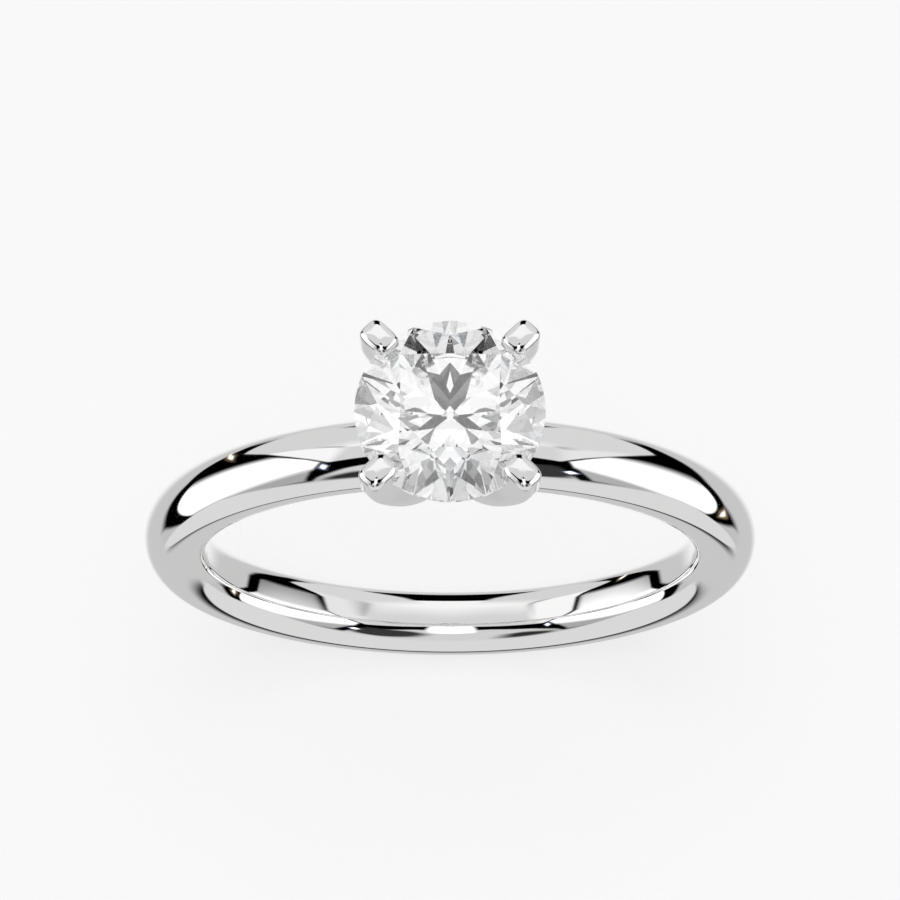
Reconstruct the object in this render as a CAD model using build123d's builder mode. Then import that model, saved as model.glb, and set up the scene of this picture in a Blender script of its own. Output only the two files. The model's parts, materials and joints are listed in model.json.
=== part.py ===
"""A four-prong solitaire engagement ring: a round comfort-fit shank with a round brilliant diamond.

Units are millimetres.  The finger bore is centred on the origin and runs along Y; the stone is at +Z.
"""

from build123d import *
from math import cos, radians, sin, sqrt, tan
import os

os.makedirs("parts", exist_ok=True)

# Finger bore and shank
bore_radius = 8.65  # US size 7, 17.3 mm inside diameter
land_half_width = 0.25  # truly cylindrical stretch in the middle of the bore
shank_width = 2.38
shank_thickness = 2.20
widest_depth = 1.23  # how far outside the bore the section is widest
comfort_power = 2.3  # how square the comfort-fit inner half of the section is
shank_top = bore_radius + shank_thickness

# Round brilliant diamond, in proportions of its diameter or as facet angles
stone_radius = 3.115
table_ratio = 0.56
crown_angle = 34.5
pavilion_angle = 41.2
star_length = 0.50
lower_half_length = 0.77
girdle_thickness = 0.18
girdle_height = 13.76  # height of the middle of the girdle above the bore's centre
main_facets = 8
facet_pitch = 360 / main_facets

# Prongs: rounded rectangular wire, deeper towards the stone than it is wide
prong_depth = 1.22
prong_width = 0.94
prong_corner_radius = 0.28
prong_tip_radius = 0.34
prong_reach = 3.27  # distance of the prong's axis from the stone's axis, at the girdle
prong_top = 14.66
knee_reach = 3.22
knee_height = 13.00
belly_point = (1.30, 1.80, 11.25)  # where the leg turns in under the stone
root_point = (0.45, 1.05, 10.40)  # where the leg is rooted in the base
belly_bend_radius = 1.6
knee_bend_radius = 0.9

# Base and peg of the head
base_half_length = 1.05  # along the shank
base_half_width = 1.36  # across the shank
base_bottom = 10.15
base_top = 11.05
base_edge_radius = 0.20
peg_radius = 0.60
peg_bottom = 9.55


def inner_section_points(count=9):
    """Points of the comfort-fit quarter, from the cylindrical land out to the widest point."""
    reach = shank_width / 2 - land_half_width
    points = []
    for step in range(count + 1):
        turn = radians(90 * step / count)
        across = land_half_width + reach * sin(turn) ** (2 / comfort_power)
        depth = widest_depth * (1 - cos(turn) ** (2 / comfort_power))
        points.append((across, bore_radius + depth))
    return points


# Shank: a comfort-fit half-round section revolved about the finger's axis
with BuildPart() as shank:
    with BuildSketch(Plane.YZ) as shank_section:
        with BuildLine():
            Line((0, bore_radius), (land_half_width, bore_radius))
            Spline(inner_section_points(), tangents=((1, 0), (0, 1)))
            EllipticalCenterArc(
                (0, bore_radius + widest_depth),
                shank_width / 2,
                shank_thickness - widest_depth,
                start_angle=0,
                arc_size=90,
            )
            Line((0, shank_top), (0, bore_radius))
        make_face()
        mirror(about=Plane.YZ)
    revolve(axis=Axis.Y)
    with Locations(Plane.XY.offset(peg_bottom)):
        Cylinder(
            peg_radius,
            shank_thickness,
            align=(Align.CENTER, Align.CENTER, Align.MIN),
            mode=Mode.SUBTRACT,
        )
shank.part.label = "shank"


def facet_plane(a, b, c):
    """The plane through three points, facing away from the stone's middle."""
    corner = Vector(*a)
    normal = (Vector(*b) - corner).cross(Vector(*c) - corner).normalized()
    middle = Vector(0, 0, girdle_height)
    if normal.dot(corner - middle) < 0:
        normal = -normal
    return Plane(origin=corner, z_dir=normal)


def around(radius, azimuth, height):
    """A point given by its distance from the stone's axis, its azimuth and its height."""
    return (radius * cos(radians(azimuth)), radius * sin(radians(azimuth)), height)


def facet_planes():
    """Every flat facet of the round brilliant: table, stars, mains and halves."""
    half_pitch = facet_pitch / 2
    pitch_cosine = cos(radians(half_pitch))
    girdle_top = girdle_height + girdle_thickness / 2
    girdle_bottom = girdle_height - girdle_thickness / 2
    crown_slope = tan(radians(crown_angle))
    pavilion_slope = tan(radians(pavilion_angle))

    table_radius = table_ratio * stone_radius
    table_height = girdle_top + (stone_radius - table_radius) * crown_slope
    table_flat = table_radius * pitch_cosine
    star_radius = table_flat + star_length * (stone_radius - table_flat)
    star_height = girdle_top + (stone_radius - star_radius * pitch_cosine) * crown_slope
    half_radius = stone_radius * (1 - lower_half_length)
    half_height = girdle_bottom - (stone_radius - half_radius * pitch_cosine) * pavilion_slope
    culet_height = girdle_bottom - stone_radius * pavilion_slope

    planes = [Plane(origin=(0, 0, table_height), z_dir=(0, 0, 1))]
    for index in range(main_facets):
        main = (index + 0.5) * facet_pitch
        star = main + half_pitch
        next_main = main + facet_pitch
        table_corner = around(table_radius, main, table_height)
        next_corner = around(table_radius, next_main, table_height)
        star_tip = around(star_radius, star, star_height)
        half_tip = around(half_radius, star, half_height)
        crown_edge = around(stone_radius, main, girdle_top)
        pavilion_edge = around(stone_radius, main, girdle_bottom)
        before_tip = around(star_radius, main - half_pitch, star_height)
        before_half = around(half_radius, main - half_pitch, half_height)
        planes.append(facet_plane(table_corner, next_corner, star_tip))
        planes.append(facet_plane(table_corner, crown_edge, star_tip))
        planes.append(facet_plane((0, 0, culet_height), pavilion_edge, half_tip))
        for side, crown_tip, pavilion_tip in (
            (main + half_pitch, star_tip, half_tip),
            (main - half_pitch, before_tip, before_half),
        ):
            crown_side = around(stone_radius, side, girdle_top)
            pavilion_side = around(stone_radius, side, girdle_bottom)
            planes.append(facet_plane(crown_edge, crown_side, crown_tip))
            planes.append(facet_plane(pavilion_edge, pavilion_side, pavilion_tip))
    return planes


# Diamond: a round blank cut by its 57 facet planes, which leave a thin bruted girdle
with BuildPart() as center_diamond:
    with Locations((0, 0, girdle_height)):
        Cylinder(stone_radius, 2 * stone_radius)
    for plane in facet_planes():
        split(bisect_by=plane, keep=Keep.BOTTOM)
center_diamond.part.label = "center_diamond"

# Head base: a small oval saddle that sits on the shank's dome
with BuildPart() as head_base:
    with BuildSketch(Plane.XY.offset(base_bottom)):
        Ellipse(base_half_length, base_half_width)
    extrude(amount=base_top - base_bottom)
    fillet(head_base.edges().group_by(Axis.Z)[-1], base_edge_radius)
    add(shank.part, mode=Mode.SUBTRACT)
    with Locations((0, 0, peg_bottom)):
        Cylinder(
            peg_radius,
            base_top - peg_bottom,
            align=(Align.CENTER, Align.CENTER, Align.MIN),
            mode=Mode.SUBTRACT,
        )
head_base.part.label = "head_base"

# Peg: the round post that passes through the base and is soldered into the shank
with BuildPart() as head_peg:
    with BuildSketch(Plane.XY.offset(peg_bottom)):
        Circle(peg_radius)
    extrude(amount=base_top - peg_bottom)
head_peg.part.label = "head_peg"

export_step(shank.part, "parts/shank.step")
export_step(center_diamond.part, "parts/center_diamond.step")
export_step(head_base.part, "parts/head_base.step")
export_step(head_peg.part, "parts/head_peg.step")

# Prongs: each a bent rounded-rectangular wire, notched to the stone and rooted in the base
prong_sides = {
    "prong_front_left": (-1, -1),
    "prong_front_right": (1, -1),
    "prong_back_left": (-1, 1),
    "prong_back_right": (1, 1),
}
diagonal = sqrt(0.5)
for prong_name, (side_x, side_y) in prong_sides.items():
    tip = (side_x * prong_reach * diagonal, side_y * prong_reach * diagonal, prong_top)
    knee = (side_x * knee_reach * diagonal, side_y * knee_reach * diagonal, knee_height)
    belly = (side_x * belly_point[0], side_y * belly_point[1], belly_point[2])
    root = (side_x * root_point[0], side_y * root_point[1], root_point[2])
    with BuildPart() as prong:
        with BuildLine() as wire:
            FilletPolyline(tip, knee, belly, root, radius=(knee_bend_radius, belly_bend_radius))
        outward = Vector(side_x, side_y, 0)
        with BuildSketch(Plane(origin=tip, x_dir=outward, z_dir=wire.line % 0)):
            RectangleRounded(prong_depth, prong_width, prong_corner_radius)
        sweep()
        fillet(prong.edges().group_by(Axis.Z)[-1], prong_tip_radius)
        split(bisect_by=Plane.YZ, keep=Keep.TOP if side_x > 0 else Keep.BOTTOM)
        split(bisect_by=Plane.XZ, keep=Keep.BOTTOM if side_y > 0 else Keep.TOP)
        add(center_diamond.part, mode=Mode.SUBTRACT)
        add(head_base.part, mode=Mode.SUBTRACT)
        add(head_peg.part, mode=Mode.SUBTRACT)
        add(shank.part, mode=Mode.SUBTRACT)
    prong.part.label = prong_name
    export_step(prong.part, f"parts/{prong_name}.step")
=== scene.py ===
import bmesh
import bpy
import json
from math import cos, pi, radians, sin, tan
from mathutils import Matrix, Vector


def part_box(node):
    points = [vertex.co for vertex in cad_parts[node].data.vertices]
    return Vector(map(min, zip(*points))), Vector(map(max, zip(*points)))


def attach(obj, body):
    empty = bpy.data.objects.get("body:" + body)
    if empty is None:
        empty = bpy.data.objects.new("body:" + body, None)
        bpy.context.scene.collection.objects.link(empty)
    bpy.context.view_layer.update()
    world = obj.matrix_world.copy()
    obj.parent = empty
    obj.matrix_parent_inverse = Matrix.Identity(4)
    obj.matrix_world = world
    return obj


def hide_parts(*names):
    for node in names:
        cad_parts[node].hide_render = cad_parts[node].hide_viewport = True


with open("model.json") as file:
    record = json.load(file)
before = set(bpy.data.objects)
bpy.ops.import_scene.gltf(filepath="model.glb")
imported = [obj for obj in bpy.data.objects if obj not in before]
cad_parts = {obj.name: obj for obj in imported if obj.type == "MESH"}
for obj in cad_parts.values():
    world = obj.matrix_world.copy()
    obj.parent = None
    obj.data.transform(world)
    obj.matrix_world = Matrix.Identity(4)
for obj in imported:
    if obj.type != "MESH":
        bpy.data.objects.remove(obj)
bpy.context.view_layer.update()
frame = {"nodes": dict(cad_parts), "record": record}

MM = 0.001

# ---------------------------------------------------------------- sizes from the frame
mounts = {mount["name"]: mount for mount in frame["record"]["mounts"]}
bore_radius = mounts["finger_bore"]["dims"]["r_mm"] * MM
shank_low, shank_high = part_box("shank")
stone_low, stone_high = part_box("center_diamond")
prong_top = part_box("prong_back_right")[1].z

# Shank section: a flat land, a comfort-fit inner half and a domed outer half
outer_radius = shank_high.x
half_width = shank_high.y
land_half_width = 0.25 * MM
widest_radius = bore_radius + 1.23 * MM
comfort_power = 2.3

# Round brilliant
stone_radius = (stone_high.x - stone_low.x) / 2
table_ratio = 0.56
crown_angle = radians(34.5)
pavilion_angle = radians(41.2)
star_length = 0.50
lower_half_length = 0.77
main_facets = 8
girdle_steps = 96
table_height = stone_high.z
girdle_top = table_height - stone_radius * (1 - table_ratio) * tan(crown_angle)
girdle_bottom = stone_low.z + stone_radius * tan(pavilion_angle)
girdle_middle = (girdle_top + girdle_bottom) / 2


def new_object(name, mesh_data, replaced):
    """Links a finished mesh as a piece that rides with the ring and stands for its CAD node."""
    piece = bpy.data.objects.new(name, mesh_data)
    bpy.context.scene.collection.objects.link(piece)
    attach(piece, "root")
    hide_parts(replaced)
    return piece


# ---------------------------------------------------------------- node helpers
class NodeTree:
    """Short ways to add and link shader nodes."""

    def __init__(self, tree):
        self.tree = tree
        self.tree.nodes.clear()

    def add(self, kind, **settings):
        node = self.tree.nodes.new(kind)
        for key, value in settings.items():
            setattr(node, key, value)
        return node

    def put(self, socket, value):
        if isinstance(value, bpy.types.NodeSocket):
            self.tree.links.new(value, socket)
        else:
            socket.default_value = value

    def math(self, operation, *values, clamp=False):
        node = self.add("ShaderNodeMath", operation=operation, use_clamp=clamp)
        for socket, value in zip(node.inputs, values):
            self.put(socket, value)
        return node.outputs[0]

    def mix_color(self, factor, first, second):
        node = self.add("ShaderNodeMix", data_type="RGBA")
        self.put(node.inputs[0], factor)
        self.put(node.inputs[6], first)
        self.put(node.inputs[7], second)
        return node.outputs[2]

    def grey(self, level):
        node = self.add("ShaderNodeCombineColor")
        for socket in node.inputs[:3]:
            self.put(socket, level)
        return node.outputs[0]

    def background(self, color):
        node = self.add("ShaderNodeBackground")
        self.put(node.inputs["Color"], color)
        return node.outputs[0]

    def ramp(self, value, low, high, low_out=0.0, high_out=1.0):
        node = self.add("ShaderNodeMapRange", interpolation_type="SMOOTHSTEP")
        for socket, given in zip(node.inputs, (value, low, high, low_out, high_out)):
            self.put(socket, given)
        return node.outputs[0]


# ---------------------------------------------------------------- materials
swirl_scale = 900.0  # polishing marks, about a millimetre across
haze_scale = 220.0  # slow drift of the plating's tone
finest_polish = 0.025
dullest_polish = 0.05
bump_strength = 0.02
bump_height = 0.01 * MM
stone_drift_scale = 400.0
diamond_ior = 2.417


def white_gold_material():
    """Rhodium-plated white gold, mirror polished, with the faint swirl of a polishing wheel."""
    material = bpy.data.materials.new("white_gold_polished")
    material.use_nodes = True
    nodes = NodeTree(material.node_tree)
    position = nodes.add("ShaderNodeTexCoord").outputs["Object"]
    swirl = nodes.add("ShaderNodeTexNoise")
    nodes.put(swirl.inputs["Vector"], position)
    nodes.put(swirl.inputs["Scale"], swirl_scale)
    nodes.put(swirl.inputs["Detail"], 4.0)
    haze = nodes.add("ShaderNodeTexNoise")
    nodes.put(haze.inputs["Vector"], position)
    nodes.put(haze.inputs["Scale"], haze_scale)
    color = nodes.mix_color(
        haze.outputs[0], (0.91, 0.905, 0.90, 1.0), (0.95, 0.95, 0.95, 1.0)
    )
    roughness = nodes.ramp(swirl.outputs[0], 0.3, 0.7, finest_polish, dullest_polish)
    bump = nodes.add("ShaderNodeBump")
    nodes.put(bump.inputs["Height"], swirl.outputs[0])
    bump.inputs["Strength"].default_value = bump_strength
    bump.inputs["Distance"].default_value = bump_height
    shader = nodes.add("ShaderNodeBsdfPrincipled")
    nodes.put(shader.inputs["Base Color"], color)
    nodes.put(shader.inputs["Roughness"], roughness)
    nodes.put(shader.inputs["Normal"], bump.outputs[0])
    shader.inputs["Metallic"].default_value = 1.0
    output = nodes.add("ShaderNodeOutputMaterial")
    nodes.put(output.inputs["Surface"], shader.outputs[0])
    return material


def diamond_material():
    """Colourless diamond: fully transmitting, with a barely warm and cool drift through the stone."""
    material = bpy.data.materials.new("diamond_polished")
    material.use_nodes = True
    nodes = NodeTree(material.node_tree)
    position = nodes.add("ShaderNodeTexCoord").outputs["Object"]
    drift = nodes.add("ShaderNodeTexNoise")
    nodes.put(drift.inputs["Vector"], position)
    nodes.put(drift.inputs["Scale"], stone_drift_scale)
    color = nodes.mix_color(
        drift.outputs[0], (0.992, 0.996, 1.0, 1.0), (1.0, 0.998, 0.992, 1.0)
    )
    shader = nodes.add("ShaderNodeBsdfPrincipled")
    nodes.put(shader.inputs["Base Color"], color)
    shader.inputs["Roughness"].default_value = 0.0
    shader.inputs["IOR"].default_value = diamond_ior
    shader.inputs["Transmission Weight"].default_value = 1.0
    output = nodes.add("ShaderNodeOutputMaterial")
    nodes.put(output.inputs["Surface"], shader.outputs[0])
    return material


# ---------------------------------------------------------------- shank
def shank_section(steps):
    """The closed section of the band as (distance from the finger's axis, place across the band)."""
    reach = half_width - land_half_width
    inner = []
    for step in range(steps + 1):
        turn = pi / 2 * step / steps
        across = land_half_width + reach * sin(turn) ** (2 / comfort_power)
        depth = (widest_radius - bore_radius) * (1 - cos(turn) ** (2 / comfort_power))
        inner.append((bore_radius + depth, across))
    outer = []
    for step in range(1, steps + 1):
        turn = pi / 2 * step / steps
        outer.append(
            (
                widest_radius + (outer_radius - widest_radius) * sin(turn),
                half_width * cos(turn),
            )
        )
    half = inner + outer
    other = [(radius, -across) for radius, across in half[-2::-1]]
    return half + other


def make_shank(material, around=360, section_steps=20):
    section = shank_section(section_steps)
    count = len(section)
    vertices = []
    for index in range(around):
        turn = 2 * pi * index / around
        for radius, across in section:
            vertices.append((radius * sin(turn), across, radius * cos(turn)))
    faces = []
    for index in range(around):
        here = index * count
        there = (index + 1) % around * count
        for step in range(count):
            after = (step + 1) % count
            faces.append((here + step, here + after, there + after, there + step))
    data = bpy.data.meshes.new("shank_polished")
    data.from_pydata(vertices, [], faces)
    data.materials.append(material)
    data.shade_smooth()
    return new_object("shank_polished", data, "shank")


# ---------------------------------------------------------------- diamond
def around_axis(radius, azimuth, height):
    return Vector((radius * cos(azimuth), radius * sin(azimuth), height))


def facet_corners():
    """Three points on each of the brilliant's flat facets, in the table's frame."""
    pitch = 2 * pi / main_facets
    half_pitch = pitch / 2
    table_radius = table_ratio * stone_radius
    table_flat = table_radius * cos(half_pitch)
    star_radius = table_flat + star_length * (stone_radius - table_flat)
    star_height = girdle_top + (stone_radius - star_radius * cos(half_pitch)) * tan(crown_angle)
    half_radius = stone_radius * (1 - lower_half_length)
    half_drop = (stone_radius - half_radius * cos(half_pitch)) * tan(pavilion_angle)
    half_height = girdle_bottom - half_drop
    culet = Vector((0, 0, stone_low.z))
    table_corners = [
        around_axis(table_radius, (index + 0.5) * pitch, table_height) for index in range(3)
    ]
    corners = [table_corners]
    for index in range(main_facets):
        main = (index + 0.5) * pitch
        table_corner = around_axis(table_radius, main, table_height)
        next_corner = around_axis(table_radius, main + pitch, table_height)
        crown_edge = around_axis(stone_radius, main, girdle_top)
        pavilion_edge = around_axis(stone_radius, main, girdle_bottom)
        star_tip = around_axis(star_radius, main + half_pitch, star_height)
        half_tip = around_axis(half_radius, main + half_pitch, half_height)
        corners.append((table_corner, next_corner, star_tip))
        corners.append((table_corner, crown_edge, star_tip))
        corners.append((culet, pavilion_edge, half_tip))
        for side in (main + half_pitch, main - half_pitch):
            corners.append(
                (
                    crown_edge,
                    around_axis(stone_radius, side, girdle_top),
                    around_axis(star_radius, side, star_height),
                )
            )
            corners.append(
                (
                    pavilion_edge,
                    around_axis(stone_radius, side, girdle_bottom),
                    around_axis(half_radius, side, half_height),
                )
            )
    return corners


def diamond_mesh(name, swell=1.0):
    """The brilliant as exact flat facets: a round blank sliced by every facet plane."""
    blank = bmesh.new()
    bmesh.ops.create_cone(
        blank,
        cap_ends=True,
        segments=girdle_steps,
        radius1=stone_radius * swell,
        radius2=stone_radius * swell,
        depth=4 * stone_radius,
    )
    middle = Vector((0, 0, girdle_middle))
    for vertex in blank.verts:
        vertex.co += middle
    for first, second, third in facet_corners():
        normal = (second - first).cross(third - first).normalized()
        if normal.dot(first - middle) < 0:
            normal = -normal
        cut = bmesh.ops.bisect_plane(
            blank,
            geom=blank.verts[:] + blank.edges[:] + blank.faces[:],
            dist=1e-9,
            plane_co=middle + (first - middle) * swell,
            plane_no=normal,
            clear_outer=True,
        )
        rim = [item for item in cut["geom_cut"] if isinstance(item, bmesh.types.BMEdge)]
        bmesh.ops.contextual_create(blank, geom=rim)
    bmesh.ops.remove_doubles(blank, verts=blank.verts, dist=1e-8)
    bmesh.ops.recalc_face_normals(blank, faces=blank.faces)
    data = bpy.data.meshes.new(name)
    blank.to_mesh(data)
    blank.free()
    return data


def make_diamond(material):
    data = diamond_mesh("center_diamond_cut")
    data.materials.append(material)
    return new_object("center_diamond_cut", data, "center_diamond")


# ---------------------------------------------------------------- prongs
prong_depth = 1.22 * MM
prong_width = 0.94 * MM
prong_squareness = 3.8
prong_reach = 3.27 * MM
knee_reach = 3.22 * MM
knee_height = 13.00 * MM
belly_point = Vector((1.30, 1.80, 11.25)) * MM
root_point = Vector((0.45, 1.05, 10.40)) * MM
cap_height = 0.42 * MM  # how far the pillow at the prong's tip rises above its sides
cap_roundness = 3.1
cap_rings = 16
corner_names = {
    "front_left": (-1, -1),
    "front_right": (1, -1),
    "back_left": (-1, 1),
    "back_right": (1, 1),
}


def smooth_path(points, rounds=4):
    """Corner cutting: keeps the ends and rounds every bend of a polyline."""
    for _ in range(rounds):
        rounded = [points[0]]
        for first, second in zip(points, points[1:]):
            rounded.append(first.lerp(second, 0.25))
            rounded.append(first.lerp(second, 0.75))
        rounded.append(points[-1])
        points = rounded
    return points


def signed_power(value, power):
    return abs(value) ** power * (1 if value > 0 else -1)


def prong_section(build, centre, along, diagonal, scale, around=64):
    """A rounded-rectangular ring of vertices square to the wire, deeper along the diagonal."""
    outward = (diagonal - along * diagonal.dot(along)).normalized()
    sideways = along.cross(outward)
    ring = []
    for index in range(around):
        angle = 2 * pi * (index + 0.5) / around
        deep = signed_power(cos(angle), 2 / prong_squareness) * prong_depth / 2 * scale
        wide = signed_power(sin(angle), 2 / prong_squareness) * prong_width / 2 * scale
        ring.append(build.verts.new(centre + outward * deep + sideways * wide))
    return ring


def prong_mesh(name, side_x, side_y):
    """A bent wire of rounded-rectangular section with a pillowed tip."""
    diagonal = Vector((side_x, side_y, 0)).normalized()
    tip = diagonal * prong_reach + Vector((0, 0, prong_top))
    knee = diagonal * knee_reach + Vector((0, 0, knee_height))
    belly = Vector((belly_point.x * side_x, belly_point.y * side_y, belly_point.z))
    root = Vector((root_point.x * side_x, root_point.y * side_y, root_point.z))
    build = bmesh.new()
    loops = []
    down = Vector((0, 0, -1))
    for step in range(1, cap_rings):
        turn = pi / 2 * step / cap_rings
        scale = sin(turn) ** (2 / cap_roundness)
        drop = cap_height * (1 - cos(turn) ** (2 / cap_roundness))
        loops.append(prong_section(build, tip + down * drop, down, diagonal, scale))
    neck = tip + down * cap_height
    path = smooth_path([neck, neck.lerp(knee, 0.3), knee, belly, root])
    for index, point in enumerate(path):
        before = path[max(index - 1, 0)]
        after = path[min(index + 1, len(path) - 1)]
        along = (after - before).normalized()
        loops.append(prong_section(build, point, along, diagonal, 1.0))
    for first, second in zip(loops, loops[1:]):
        for index in range(len(first)):
            after = (index + 1) % len(first)
            build.faces.new((first[index], first[after], second[after], second[index]))
    build.faces.new(loops[0][::-1])
    build.faces.new(loops[-1])
    bmesh.ops.recalc_face_normals(build, faces=build.faces)
    data = bpy.data.meshes.new(name)
    build.to_mesh(data)
    build.free()
    return data


def make_prongs(material):
    """Four prongs, each notched to fit round the stone with a hair's clearance."""
    cutter = bpy.data.objects.new("stone_cutter", diamond_mesh("stone_cutter", 1.002))
    bpy.context.scene.collection.objects.link(cutter)
    prongs = []
    for corner, (side_x, side_y) in corner_names.items():
        name = f"prong_{corner}_wire"
        rough = bpy.data.objects.new(name + "_rough", prong_mesh(name + "_rough", side_x, side_y))
        bpy.context.scene.collection.objects.link(rough)
        notch = rough.modifiers.new("notch", "BOOLEAN")
        notch.operation = "DIFFERENCE"
        notch.solver = "EXACT"
        notch.object = cutter
        bpy.context.view_layer.update()
        evaluated = rough.evaluated_get(bpy.context.evaluated_depsgraph_get())
        data = bpy.data.meshes.new_from_object(evaluated)
        data.name = name
        bpy.data.objects.remove(rough)
        data.materials.clear()
        data.materials.append(material)
        data.shade_smooth()
        data.set_sharp_from_angle(angle=radians(35))
        prongs.append(new_object(name, data, f"prong_{corner}"))
    bpy.data.objects.remove(cutter)
    return prongs


# ---------------------------------------------------------------- studio
backdrop_level = 0.938  # what the camera sees past the floor
room_level = 0.62  # what lights the floor
floor_half_size = 3.0
floor_albedo = 0.8
floor_glow = 0.325
top_light_energy = 0.50
top_light_spread = radians(50)


def make_floor():
    """A pale floor that the camera sees, hidden from reflections and from rays through the stone."""
    size = floor_half_size
    data = bpy.data.meshes.new("studio_floor")
    low = shank_low.z
    data.from_pydata(
        [(-size, -size, low), (size, -size, low), (size, size, low), (-size, size, low)],
        [],
        [(0, 1, 2, 3)],
    )
    material = bpy.data.materials.new("studio_floor")
    material.use_nodes = True
    nodes = NodeTree(material.node_tree)
    diffuse = nodes.add("ShaderNodeBsdfDiffuse")
    diffuse.inputs["Color"].default_value = (floor_albedo, floor_albedo, floor_albedo, 1)
    glow = nodes.add("ShaderNodeEmission")
    glow.inputs["Color"].default_value = (1, 1, 1, 1)
    glow.inputs["Strength"].default_value = floor_glow
    both = nodes.add("ShaderNodeAddShader")
    nodes.put(both.inputs[0], diffuse.outputs[0])
    nodes.put(both.inputs[1], glow.outputs[0])
    output = nodes.add("ShaderNodeOutputMaterial")
    nodes.put(output.inputs["Surface"], both.outputs[0])
    data.materials.append(material)
    floor = bpy.data.objects.new("studio_floor", data)
    bpy.context.scene.collection.objects.link(floor)
    floor.visible_glossy = False
    floor.visible_transmission = False
    return floor


def make_top_light():
    """A very soft light from straight above, only for the faint shadow: no reflection shows it."""
    light = bpy.data.lights.new("top_light", "SUN")
    light.energy = top_light_energy
    light.angle = top_light_spread
    lamp = bpy.data.objects.new("top_light", light)
    lamp.visible_glossy = False
    lamp.visible_transmission = False
    bpy.context.scene.collection.objects.link(lamp)
    return lamp


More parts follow.
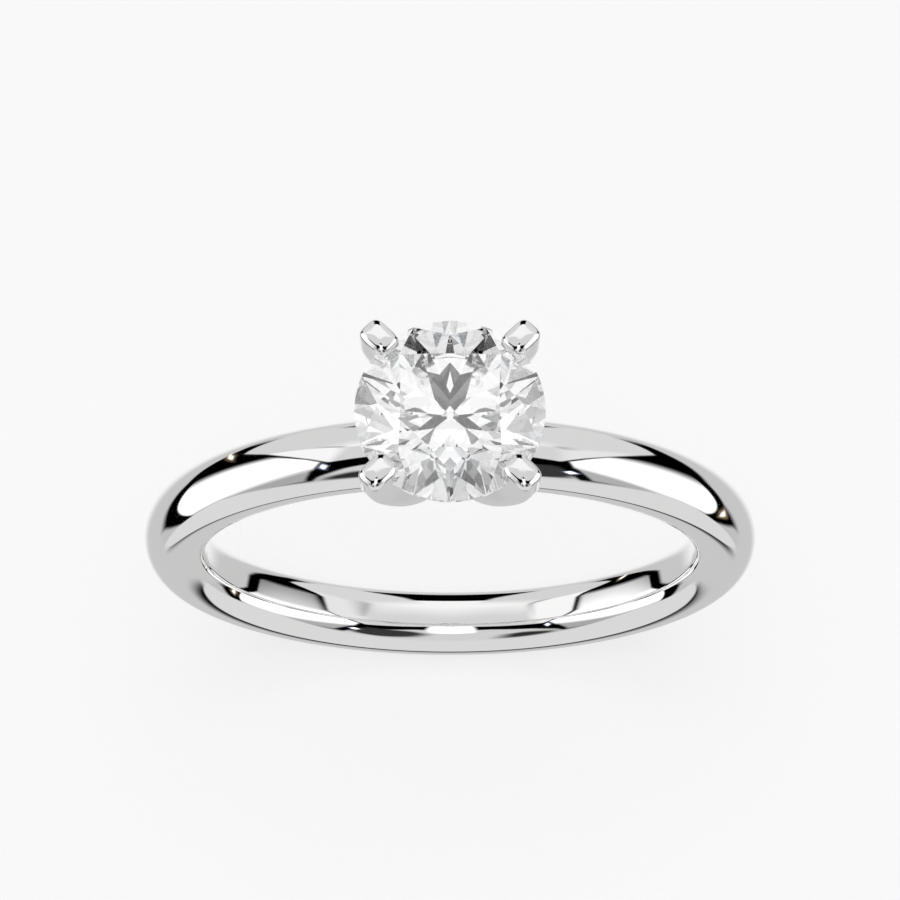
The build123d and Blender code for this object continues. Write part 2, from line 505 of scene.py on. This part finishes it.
# Each panel of the studio is a patch of sky between its corners, which are (degrees right of the
# front, degrees above the horizon, softness of the edge that starts there).  Later panels cover
# earlier ones, and the studio is black where nothing covers it.  The panels were placed to
# resemble the reflections on the reference's band, so this is not a plain studio, and they stand
# for no lamps that are known.
white = (1.0, 1.0, 1.0)
black = (0.0, 0.0, 0.0)
warm = (1.0, 0.72, 0.40)
cool = (0.50, 0.62, 1.0)
icy = (0.90, 0.96, 1.0)
studio_panels = [
    ("back_low", white, 0.66, [(-150, -7, 3), (150, -7, 10), (150, -40, 10), (-150, -40, 10)]),
    ("overhead", white, 0.70, [(53, 75, 3), (-53, 75, 3), (-100, 42, 4), (-150, 48, 4),
                               (150, 48, 4), (100, 42, 4)]),
    ("overhead_left", white, 0.70, [(-53, 75, 3), (-70, 40, 4), (-110, 40, 4), (-110, 75, 4)]),
    ("overhead_right", white, 0.70, [(53, 75, 3), (66, 40, 4), (110, 40, 4), (110, 75, 4)]),
    ("back_high", white, 0.98, [(-116, 54, 5), (-140, 70, 5), (180, 73, 5), (140, 70, 5),
                                (116, 54, 5), (125, 30, 3), (180, 41, 3), (-125, 30, 3)]),
    ("back_left", white, 0.70, [(-165, 50, 25), (-119, 42, 6), (-108, 20, 1.5), (-120, 0, 1.5),
                                (-136, -10, 2), (-158, -18, 6), (-166, -8, 4), (-163, 25, 4)]),
    ("back_right", white, 0.72, [(165, 50, 25), (110, 46, 6), (108, 20, 1.5), (120, 0, 1.5),
                                 (133, -7, 2), (158, -16, 6), (166, -8, 4), (163, 25, 4)]),
    ("high_left", white, 1.00, [(-122, 10, 2), (-118, 47, 8), (-96, 50, 5), (-71, 44, 1.5),
                                (-80, 30, 1.5), (-107, 10, 1.5)]),
    ("high_right", white, 0.84, [(122, 10, 6), (110, 48, 12), (92, 50, 6), (66, 46, 1.5),
                                 (78, 30, 1.5), (107, 10, 2)]),
    ("front_middle", white, 0.68, [(-33, 0, 8), (-37, 12, 4), (-42, 35, 4), (-34, 56, 6),
                                   (30, 58, 6), (40, 33, 4), (34, 12, 4), (31, 0, 8)]),
    ("front_card_left", white, 0.03, [(-34, 14, 8), (-31, 27, 8), (-21, 26, 9), (-12, 8, 9),
                                      (-14, 0, 7), (-28, 0, 7)]),
    ("front_card_right", white, 0.04, [(11, 18, 9), (10, 38, 7), (24, 48, 7), (48, 40, 7),
                                       (40, 20, 7), (28, 8, 7), (18, 6, 9)]),
    ("front_top", white, 1.25, [(-52, 76, 3), (-24, 60, 3), (-14, 45, 4), (0, 42, 4),
                                (11, 45, 4), (22, 60, 3), (48, 77, 3), (90, 85, 3),
                                (-90, 85, 3)]),
    ("zenith_card", black, 0.0, [(0, 86, 2), (90, 82, 2), (180, 84, 2), (-90, 82, 2)]),
    ("frame_left", black, 0.0, [(-136, -13, 1.5), (-121.5, 12.5, 1.5), (-106.5, 28.7, 1.5),
                                (-90, 38.8, 1.5), (-75, 42.5, 1.5), (-66, 43, 2), (-52, 36, 2),
                                (-38, 16, 2), (-30, 1, 6), (-40, -20, 2), (-61, -32, 2),
                                (-90, -31, 2), (-117, -24, 2)]),
    ("frame_right", black, 0.0, [(134, -11, 2), (120.5, 11.5, 2), (106, 29.5, 2), (90, 40.7, 1.5),
                                 (76, 45, 2), (64, 46, 2), (50, 38, 2), (36, 18, 2), (29, 3, 6),
                                 (40, -20, 2), (61, -30, 2), (90, -26, 2), (112, -19, 2)]),
    ("side_front_left", white, 0.42, [(-63, 33, 2), (-50, 24, 2), (-39, 11, 2), (-32, 1, 6),
                                      (-42, -4, 3), (-54, -9, 3), (-60, -14, 2), (-61, -30.5, 2),
                                      (-75, -30, 2), (-75, 38, 2)]),
    ("side_front_right", white, 0.46, [(64, 40, 2), (52, 33, 2), (43, 20, 2), (32, 3, 6),
                                       (42, -4, 3), (54, -9, 3), (60, -14, 2), (61, -29, 2),
                                       (75, -27, 2), (75, 42, 2)]),
    ("side_box_left", white, 1.35, [(-108, -22, 14), (-111, 8, 12), (-111, 20, 3),
                                    (-104, 27.8, 2), (-90, 37, 2), (-75, 40.5, 2), (-59, 32, 12),
                                    (-58, -10, 8), (-60, -30, 2), (-90, -29, 2)]),
    ("side_box_right", white, 1.35, [(106, -16, 18), (108, 6, 16), (108, 22, 4), (104, 29.5, 2),
                                     (89, 39, 2), (70, 43.5, 2), (56, 36, 10), (55, -10, 8),
                                     (61, -28.5, 2), (90, -24.5, 2)]),
    ("gap_left", black, 0.0, [(-57, -30.5, 2), (-90, -29.5, 2), (-117, -23, 2), (-133, -12, 2),
                              (-117, -40, 2), (-57, -66, 2)]),
    ("gap_right", black, 0.0, [(57, -29, 2), (90, -25, 2), (112, -18, 2), (131, -10, 2),
                               (117, -38, 2), (57, -66, 2)]),
    ("warm_right", warm, 0.5, [(71, -32.5, 5), (80, -29.5, 5), (90, -31, 5), (80, -35, 5)]),
    ("warm_right_core", white, 3.0, [(75, -32, 3), (80, -31, 3), (85, -31.5, 3), (80, -33, 3)]),
    ("floor_side_left", white, 0.56, [(-55, -38, 5), (-77, -44.5, 5), (-82, -60, 3),
                                      (-55, -70, 3)]),
    ("floor_side_right", white, 0.56, [(55, -36, 5), (77, -42.5, 5), (82, -60, 3),
                                       (55, -70, 3)]),
    ("front_wall", white, 0.74, [(-58.5, -14, 3), (-53, -6, 6), (-38, 3, 12), (0, 5, 12),
                                 (38, 3, 6), (53, -6, 3), (58.5, -14, 2), (58.5, -57, 4),
                                 (40, -75, 4), (-40, -75, 4), (-58.5, -57, 2)]),
    ("floor_gap", black, 0.0, [(0, -60.3, 2), (-22, -60, 2), (-42, -60, 9), (-90, -72, 9),
                               (90, -72, 9), (42, -60, 2), (22, -60, 2)]),
]
floor_corners = [(0, -62.5, 2), (-22, -62.2, 2.5), (-45, -59.5, 6), (-62, -55, 8),
                 (-77, -46, 8), (-92, -39.5, 5), (-105, -33, 3), (-117, -26.5, 2),
                 (-140, -22, 3), (140, -20, 5), (112, -22, 3), (90, -32, 6), (77, -42.5, 8),
                 (62, -55, 8), (45, -59.5, 3), (22, -62.2, 2)]
spot_panels = [
    ("cool_left", cool, 0.5, [(-69, 40, 3), (-60, 38.6, 3), (-50, 31.5, 3), (-60, 34.5, 3)]),
    ("cool_left_core", white, 3.0, [(-65, 38.8, 2), (-59, 37.8, 2), (-53, 33.2, 2),
                                    (-59, 35.3, 2)]),
    ("cool_right", cool, 0.5, [(36.5, 20.5, 3), (38.5, 27, 3), (45, 29, 3), (43, 23, 3)]),
    ("cool_right_core", white, 3.0, [(37.8, 22, 2), (39.2, 26.4, 2), (43, 27.5, 2),
                                     (41.8, 23.2, 2)]),
    ("warm_left", warm, 0.5, [(-142, -25, 4), (-133.5, -13.5, 4), (-127, -9, 4), (-134, -17.5, 4)]),
    ("warm_left_core", white, 3.0, [(-139, -21.5, 2), (-133.8, -14.6, 2), (-130, -11.6, 2),
                                    (-133.8, -16.4, 2)]),
]
corner_rounding = 0.6

# A second sky, seen only by rays that have passed through the stone, in place of the panels above.
# Its dark cards and noise were placed so that the facets fall light and dark roughly as in
# the reference.  It is a lighting effect, and it stands for nothing in a real room.
stone_sky = 1.04
stone_floor = 0.55
mottle_scale = 5.0  # noise that darkens the second sky in patches, low down
mottle_depth = 0.62
stone_panels = [
    ("side_left", icy, 0.50, [(-52, 38, 8), (-52, 56, 8), (-76, 56, 8), (-100, 48, 8),
                              (-100, 28, 8)]),
    ("side_right", icy, 0.50, [(52, 38, 8), (52, 56, 8), (76, 56, 8), (100, 48, 8),
                               (100, 28, 8)]),
    ("side_card_left", white, 0.03, [(-50, 41, 3), (-52, 51, 3), (-68, 49, 3), (-66, 38, 3)]),
    ("side_card_right", white, 0.03, [(50, 41, 3), (52, 51, 3), (68, 49, 3), (66, 38, 3)]),
    ("leaf_left", black, 0.0, [(-98, 72, 2), (-118, 73, 2), (-117, 67, 2), (-98, 66, 2)]),
    ("leaf_right", black, 0.0, [(98, 72, 2), (118, 73, 2), (117, 67, 2), (98, 66, 2)]),
    ("back_card_left", white, 0.05, [(-138, 58, 3), (-158, 57, 3), (-156, 49, 3), (-138, 50, 3)]),
    ("back_card_right", white, 0.05, [(138, 58, 3), (158, 57, 3), (156, 49, 3), (138, 50, 3)]),
    ("ceiling_card", black, 0.0, [(0, 79.5, 2), (45, 79, 2), (90, 80, 2), (142, 73, 2),
                                  (180, 76, 2), (-142, 73, 2), (-90, 80, 2), (-45, 79, 2)]),
    ("front_card_left", white, 0.03, [(-17, 40, 3), (-32, 40, 3), (-30, 28, 3), (-18, 28, 3)]),
    ("front_card_right", white, 0.03, [(17, 40, 3), (32, 40, 3), (30, 28, 3), (18, 28, 3)]),
    ("gap_left", black, 0.0, [(-29, 71, 3), (-51, 71, 3), (-52, 59, 3), (-27, 56, 3)]),
    ("gap_right", black, 0.0, [(29, 71, 3), (51, 71, 3), (52, 59, 3), (27, 56, 3)]),
]


def sky(side, height):
    """The direction at so many degrees right of the front and above the horizon."""
    flat = cos(radians(height))
    return Vector((sin(radians(side)) * flat, -cos(radians(side)) * flat, sin(radians(height))))


def panel_mask(nodes, direction, corners):
    """1 inside a convex patch of sky and 0 outside; the edges are straight lines in space."""
    directions = [sky(side, height) for side, height, _ in corners]
    centre = sum(directions, Vector())
    inside = None
    for index, (start, corner) in enumerate(zip(directions, corners)):
        end = directions[(index + 1) % len(directions)]
        normal = start.cross(end).normalized()
        if normal.dot(centre) < 0:
            normal = -normal
        edge = nodes.add("ShaderNodeVectorMath", operation="DOT_PRODUCT")
        nodes.put(edge.inputs[0], direction)
        nodes.put(edge.inputs[1], normal / radians(corner[2]))
        distance = edge.outputs["Value"]
        if inside is not None:
            distance = nodes.math("SMOOTH_MIN", inside, distance, corner_rounding)
        inside = distance
    return nodes.ramp(inside, -0.5, 0.5)


def paint_panels(nodes, direction, color, panels):
    for _, tint, brightness, corners in panels:
        mask = panel_mask(nodes, direction, corners)
        paint = tuple(brightness * channel for channel in tint) + (1.0,)
        color = nodes.mix_color(mask, color, paint)
    return color


def make_world():
    """The panels for reflections, the second sky through the stone, and even levels elsewhere."""
    world = bpy.data.worlds.new("studio")
    world.use_nodes = True
    world.cycles.sampling_method = "NONE"
    bpy.context.scene.world = world
    nodes = NodeTree(world.node_tree)
    direction = nodes.add("ShaderNodeTexCoord").outputs["Generated"]
    color = paint_panels(nodes, direction, black + (1.0,), studio_panels)
    below = nodes.add("ShaderNodeVectorMath", operation="DOT_PRODUCT")
    nodes.put(below.inputs[0], direction)
    nodes.put(below.inputs[1], sky(180, -58))
    floor_level = nodes.ramp(below.outputs["Value"], cos(radians(36)), cos(radians(8)), 0.60, 0.93)
    floor_mask = panel_mask(nodes, direction, floor_corners)
    color = nodes.mix_color(floor_mask, color, nodes.grey(floor_level))
    color = paint_panels(nodes, direction, color, spot_panels)

    height = nodes.add("ShaderNodeSeparateXYZ")
    nodes.put(height.inputs[0], direction)
    stone_level = nodes.ramp(height.outputs["Z"], -0.15, 0.05, stone_floor, stone_sky)
    mottle = nodes.add("ShaderNodeTexNoise")
    nodes.put(mottle.inputs["Vector"], direction)
    nodes.put(mottle.inputs["Scale"], mottle_scale)
    nodes.put(mottle.inputs["Detail"], 1.0)
    depth = nodes.ramp(mottle.outputs[0], 0.50, 0.60, 0.0, mottle_depth)
    lower = nodes.ramp(height.outputs["Z"], 0.80, 0.92, 1.0, 0.0)
    shade = nodes.math("SUBTRACT", 1.0, nodes.math("MULTIPLY", depth, lower))
    stone_grey = nodes.grey(nodes.math("MULTIPLY", stone_level, shade))
    stone_color = paint_panels(nodes, direction, stone_grey, stone_panels)
    path = nodes.add("ShaderNodeLightPath")
    seen = nodes.background(color)
    for ray, level in (
        ("Is Diffuse Ray", (room_level, room_level, room_level, 1.0)),
        ("Is Transmission Ray", stone_color),
        ("Is Camera Ray", (backdrop_level, backdrop_level, backdrop_level, 1.0)),
    ):
        chooser = nodes.add("ShaderNodeMixShader")
        nodes.put(chooser.inputs[0], path.outputs[ray])
        nodes.put(chooser.inputs[1], seen)
        nodes.put(chooser.inputs[2], nodes.background(level))
        seen = chooser.outputs[0]
    output = nodes.add("ShaderNodeOutputWorld")
    nodes.put(output.inputs["Surface"], seen)
    return world


# Camera: looks down steeply from the front through a long lens
camera_elevation = radians(70.6)
camera_distance = 140.8 * MM
camera_aim = Vector((0, 0, 9.93 * MM))
camera_lens = 168.6


def make_camera():
    data = bpy.data.cameras.new("camera")
    data.lens = camera_lens
    data.sensor_width = 36.0
    data.clip_start = 0.001
    data.clip_end = 20.0
    camera = bpy.data.objects.new("camera", data)
    bpy.context.scene.collection.objects.link(camera)
    back = Vector((0, -cos(camera_elevation), sin(camera_elevation)))
    camera.location = camera_aim + back * camera_distance
    camera.rotation_mode = "QUATERNION"
    camera.rotation_quaternion = (-back).to_track_quat("-Z", "Y")
    bpy.context.scene.camera = camera
    return camera


def set_render_looks():
    scene = bpy.context.scene
    scene.view_settings.view_transform = "Standard"
    scene.cycles.max_bounces = 40
    scene.cycles.transmission_bounces = 40
    scene.cycles.glossy_bounces = 16
    scene.cycles.use_denoising = True
    scene.cycles.blur_glossy = 0.0


make_camera()
make_world()
make_floor()
make_top_light()
set_render_looks()
white_gold = white_gold_material()
diamond = diamond_material()
make_shank(white_gold)
make_diamond(diamond)
make_prongs(white_gold)
for node in ("head_base", "head_peg"):
    cad_mesh = frame["nodes"][node].data
    cad_mesh.materials.clear()
    cad_mesh.materials.append(white_gold)
